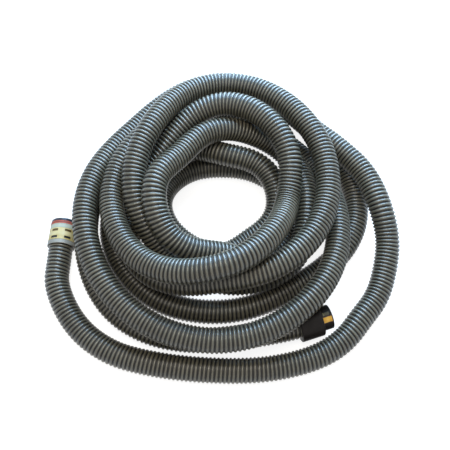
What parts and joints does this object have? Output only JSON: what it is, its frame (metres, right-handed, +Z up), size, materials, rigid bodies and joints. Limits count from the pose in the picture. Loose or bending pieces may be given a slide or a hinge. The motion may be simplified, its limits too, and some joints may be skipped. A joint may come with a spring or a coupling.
{
  "type": "vacuum hose",
  "caption": "Ribbed vacuum hose lying wound in loose loops, with a slotted swivel coupling on one end and a stepped black swivel coupling with a push latch on the other.",
  "frame": {"origin": "on the floor under the middle of the outline of the hose and its two couplings", "axes": "+Z up from the floor, +X to the right and -Y toward the viewer of the picture"},
  "size_m": [0.6762, 0.6633, 0.1862],
  "materials": {
    "hose": "satin ribbed grey",
    "grey_plastic": "satin",
    "cream_plastic": "satin",
    "pale_plastic": "satin",
    "red_seal": "dusty matt",
    "dark_plastic": "satin",
    "black_plastic": "satin",
    "yellow_key": "satin",
    "brown_plastic": "satin",
    "olive_rubber": "matt",
    "seal_rubber": "matt",
    "spring_steel": "brushed"
  },
  "bodies": {
    "hose": {"hose_left_run": "hose", "hose_coil": "hose", "left_hose_insert": "dark_plastic", "left_rear_ring": "grey_plastic", "left_swivel_seal": "seal_rubber", "left_snap_ring": "spring_steel", "right_hose_insert": "dark_plastic", "right_swivel_seal": "seal_rubber", "right_snap_ring": "spring_steel"},
    "left_cuff": {"left_socket_tube": "dark_plastic", "left_lock_sleeve": "cream_plastic", "left_front_ring": "pale_plastic", "left_band": "red_seal", "left_end_lip": "dark_plastic"},
    "right_cuff": {"right_mouth": "black_plastic", "right_barrel": "black_plastic", "right_lip_seal": "seal_rubber", "right_latch_frame": "brown_plastic", "right_latch_spring": "spring_steel", "right_latch_patch": "olive_rubber"},
    "latch_button": {"right_latch_button": "yellow_key"}
  },
  "joints": [
    {"name": "left_swivel", "type": "hinge", "parent": "hose", "child": "left_cuff", "pos_m": [-0.31128, -0.04517, 0.0262], "axis": [0.025, 0.9997, 0], "continuous": true},
    {"name": "right_swivel", "type": "hinge", "parent": "hose", "child": "right_cuff", "pos_m": [0.16396, -0.22124, 0.03], "axis": [0.9511, 0.309, 0], "continuous": true},
    {"name": "latch_press", "type": "slide", "parent": "right_cuff", "child": "latch_button", "axis": [-0.1306, 0.4019, -0.9063], "range_m": [0, 0.001], "stiffness_N_per_m": 800, "springref_m": -0.001, "deforming": ["right_latch_spring"]}
  ]
}
